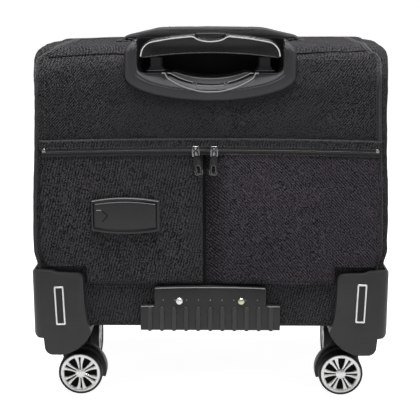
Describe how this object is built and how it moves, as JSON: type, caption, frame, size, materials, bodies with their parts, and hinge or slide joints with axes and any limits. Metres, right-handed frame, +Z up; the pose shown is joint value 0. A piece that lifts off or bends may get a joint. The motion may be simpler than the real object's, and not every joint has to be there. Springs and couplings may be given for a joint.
{
  "type": "rolling laptop case",
  "caption": "Soft-sided upright rolling laptop case with telescopic trolley handle, twin-wheel spinner casters, zipped back pocket and fold-down front lid.",
  "frame": {"origin": "on the floor, under the middle of the case's bounding box", "axes": "+Z up, +Y towards the front lid, -Y towards the back with the trolley handle, +X to the right seen from behind"},
  "size_m": [0.42, 0.236, 0.443],
  "materials": {
    "shell_fabric": "plain woven polyester, matt",
    "pocket_fabric": "plain woven polyester, matt",
    "lining_fabric": "brushed nylon lining",
    "webbing": "padded strap, matt",
    "stiffener_board": "pressed PE board",
    "housing_plastic": "fine-textured moulding",
    "guard_plastic": "fine-textured moulding",
    "bezel_plastic": "satin moulding",
    "grip_plastic": "satin moulding",
    "fork_plastic": "satin moulding",
    "label_frame": "satin embossed vinyl",
    "label_card": "plain dark slip",
    "bright_trim": "polished",
    "rivet_metal": "tumbled",
    "tube_metal": "black anodised",
    "axle_steel": "plain",
    "tyre_rubber": "matt",
    "cap_silver": "silver paint",
    "zip_tape": "woven tape with coil",
    "zip_metal": "black nickel"
  },
  "bodies": {
    "root": {"body_shell": "shell_fabric", "base_board": "stiffener_board", "laptop_divider": "lining_fabric", "handle_bezel": "bezel_plastic", "outer_tube_left": "tube_metal", "outer_tube_right": "tube_metal", "tube_foot_bracket": "stiffener_board", "corner_housing_rear_left": "housing_plastic", "corner_housing_rear_right": "housing_plastic", "corner_housing_front_left": "housing_plastic", "corner_housing_front_right": "housing_plastic", "corner_trim_left": "bright_trim", "corner_trim_right": "bright_trim", "rear_pocket_panel": "pocket_fabric", "rear_zip_tape": "zip_tape", "id_holder": "label_frame", "skid_guard": "guard_plastic", "guard_rivet_left": "rivet_metal", "guard_rivet_right": "rivet_metal"},
    "lid": {"front_lid": "shell_fabric", "front_pocket": "pocket_fabric"},
    "carry_handle": {"carry_handle": "webbing"},
    "trolley_middle": {"middle_tube_left": "tube_metal", "middle_tube_right": "tube_metal"},
    "trolley_inner": {"inner_tube_left": "tube_metal", "inner_tube_right": "tube_metal", "handle_grip": "grip_plastic", "grip_trim": "bright_trim"},
    "grip_button": {"grip_button": "grip_plastic"},
    "id_card": {"id_card": "label_card"},
    "rear_slider_left": {"rear_zip_slider_left": "zip_metal"},
    "rear_pull_left": {"rear_zip_pull_left": "zip_metal"},
    "main_slider_left": {"main_zip_slider_left": "zip_metal"},
    "rear_slider_right": {"rear_zip_slider_right": "zip_metal"},
    "rear_pull_right": {"rear_zip_pull_right": "zip_metal"},
    "main_slider_right": {"main_zip_slider_right": "zip_metal"},
    "caster_rear_left": {"caster_fork_rear_left": "fork_plastic", "wheel_axle_rear_left": "axle_steel"},
    "wheel_rear_left_outer": {"tyre_rear_left_outer": "tyre_rubber", "hub_cap_rear_left_outer": "cap_silver"},
    "wheel_rear_left_inner": {"tyre_rear_left_inner": "tyre_rubber", "hub_cap_rear_left_inner": "cap_silver"},
    "caster_rear_right": {"caster_fork_rear_right": "fork_plastic", "wheel_axle_rear_right": "axle_steel"},
    "wheel_rear_right_outer": {"tyre_rear_right_outer": "tyre_rubber", "hub_cap_rear_right_outer": "cap_silver"},
    "wheel_rear_right_inner": {"tyre_rear_right_inner": "tyre_rubber", "hub_cap_rear_right_inner": "cap_silver"},
    "caster_front_left": {"caster_fork_front_left": "fork_plastic", "wheel_axle_front_left": "axle_steel"},
    "wheel_front_left_outer": {"tyre_front_left_outer": "tyre_rubber", "hub_cap_front_left_outer": "cap_silver"},
    "wheel_front_left_inner": {"tyre_front_left_inner": "tyre_rubber", "hub_cap_front_left_inner": "cap_silver"},
    "caster_front_right": {"caster_fork_front_right": "fork_plastic", "wheel_axle_front_right": "axle_steel"},
    "wheel_front_right_outer": {"tyre_front_right_outer": "tyre_rubber", "hub_cap_front_right_outer": "cap_silver"},
    "wheel_front_right_inner": {"tyre_front_right_inner": "tyre_rubber", "hub_cap_front_right_inner": "cap_silver"}
  },
  "joints": [
    {"name": "lid_hinge", "type": "hinge", "parent": "root", "child": "lid", "pos_m": [0, 0.097, 0.166], "axis": [-1, 0, 0], "range_deg": [0, 100]},
    {"name": "carry_handle_lift", "type": "slide", "parent": "root", "child": "carry_handle", "axis": [0, 0, 1], "range_m": [0, 0.018], "stiffness_N_per_m": 250},
    {"name": "trolley_lower_stage", "type": "slide", "parent": "root", "child": "trolley_middle", "axis": [0, 0, 1], "range_m": [0, 0.26]},
    {"name": "trolley_upper_stage", "type": "slide", "parent": "trolley_middle", "child": "trolley_inner", "axis": [0, 0, 1], "range_m": [0, 0.26]},
    {"name": "grip_button_press", "type": "slide", "parent": "trolley_inner", "child": "grip_button", "axis": [0, 0, -1], "range_m": [0, 0.0025], "stiffness_N_per_m": 800},
    {"name": "id_card_slide", "type": "slide", "parent": "root", "child": "id_card", "axis": [-1, 0, 0], "range_m": [0, 0.06]},
    {"name": "rear_slider_left_slide", "type": "slide", "parent": "root", "child": "rear_slider_left", "axis": [-1, 0, 0], "range_m": [0, 0.165]},
    {"name": "rear_pull_left_flip", "type": "hinge", "parent": "rear_slider_left", "child": "rear_pull_left", "pos_m": [-0.0165, -0.1154, 0.305], "axis": [-1, 0, 0], "range_deg": [0, 170]},
    {"name": "main_slider_left_slide", "type": "slide", "parent": "root", "child": "main_slider_left", "axis": [-1, 0, 0], "range_m": [0, 0.138]},
    {"name": "rear_slider_right_slide", "type": "slide", "parent": "root", "child": "rear_slider_right", "axis": [1, 0, 0], "range_m": [0, 0.178]},
    {"name": "rear_pull_right_flip", "type": "hinge", "parent": "rear_slider_right", "child": "rear_pull_right", "pos_m": [0.0045, -0.1154, 0.305], "axis": [-1, 0, 0], "range_deg": [0, 170]},
    {"name": "main_slider_right_slide", "type": "slide", "parent": "root", "child": "main_slider_right", "axis": [1, 0, 0], "range_m": [0, 0.138]},
    {"name": "caster_swivel_rear_left", "type": "hinge", "parent": "root", "child": "caster_rear_left", "pos_m": [-0.172, -0.071, 0.06], "axis": [0, 0, 1], "continuous": true},
    {"name": "wheel_spin_rear_left_outer", "type": "hinge", "parent": "caster_rear_left", "child": "wheel_rear_left_outer", "pos_m": [-0.159, -0.071, 0.02687], "axis": [0, 1, 0], "continuous": true},
    {"name": "wheel_spin_rear_left_inner", "type": "hinge", "parent": "caster_rear_left", "child": "wheel_rear_left_inner", "pos_m": [-0.159, -0.071, 0.02687], "axis": [0, 1, 0], "continuous": true},
    {"name": "caster_swivel_rear_right", "type": "hinge", "parent": "root", "child": "caster_rear_right", "pos_m": [0.172, -0.071, 0.06], "axis": [0, 0, 1], "continuous": true},
    {"name": "wheel_spin_rear_right_outer", "type": "hinge", "parent": "caster_rear_right", "child": "wheel_rear_right_outer", "pos_m": [0.159, -0.071, 0.02687], "axis": [0, 1, 0], "continuous": true},
    {"name": "wheel_spin_rear_right_inner", "type": "hinge", "parent": "caster_rear_right", "child": "wheel_rear_right_inner", "pos_m": [0.159, -0.071, 0.02687], "axis": [0, 1, 0], "continuous": true},
    {"name": "caster_swivel_front_left", "type": "hinge", "parent": "root", "child": "caster_front_left", "pos_m": [-0.172, 0.062, 0.06], "axis": [0, 0, 1], "continuous": true},
    {"name": "wheel_spin_front_left_outer", "type": "hinge", "parent": "caster_front_left", "child": "wheel_front_left_outer", "pos_m": [-0.172, 0.049, 0.02687], "axis": [1, 0, 0], "continuous": true},
    {"name": "wheel_spin_front_left_inner", "type": "hinge", "parent": "caster_front_left", "child": "wheel_front_left_inner", "pos_m": [-0.172, 0.049, 0.02687], "axis": [1, 0, 0], "continuous": true},
    {"name": "caster_swivel_front_right", "type": "hinge", "parent": "root", "child": "caster_front_right", "pos_m": [0.172, 0.062, 0.06], "axis": [0, 0, 1], "continuous": true},
    {"name": "wheel_spin_front_right_outer", "type": "hinge", "parent": "caster_front_right", "child": "wheel_front_right_outer", "pos_m": [0.172, 0.049, 0.02687], "axis": [1, 0, 0], "continuous": true},
    {"name": "wheel_spin_front_right_inner", "type": "hinge", "parent": "caster_front_right", "child": "wheel_front_right_inner", "pos_m": [0.172, 0.049, 0.02687], "axis": [1, 0, 0], "continuous": true}
  ]
}
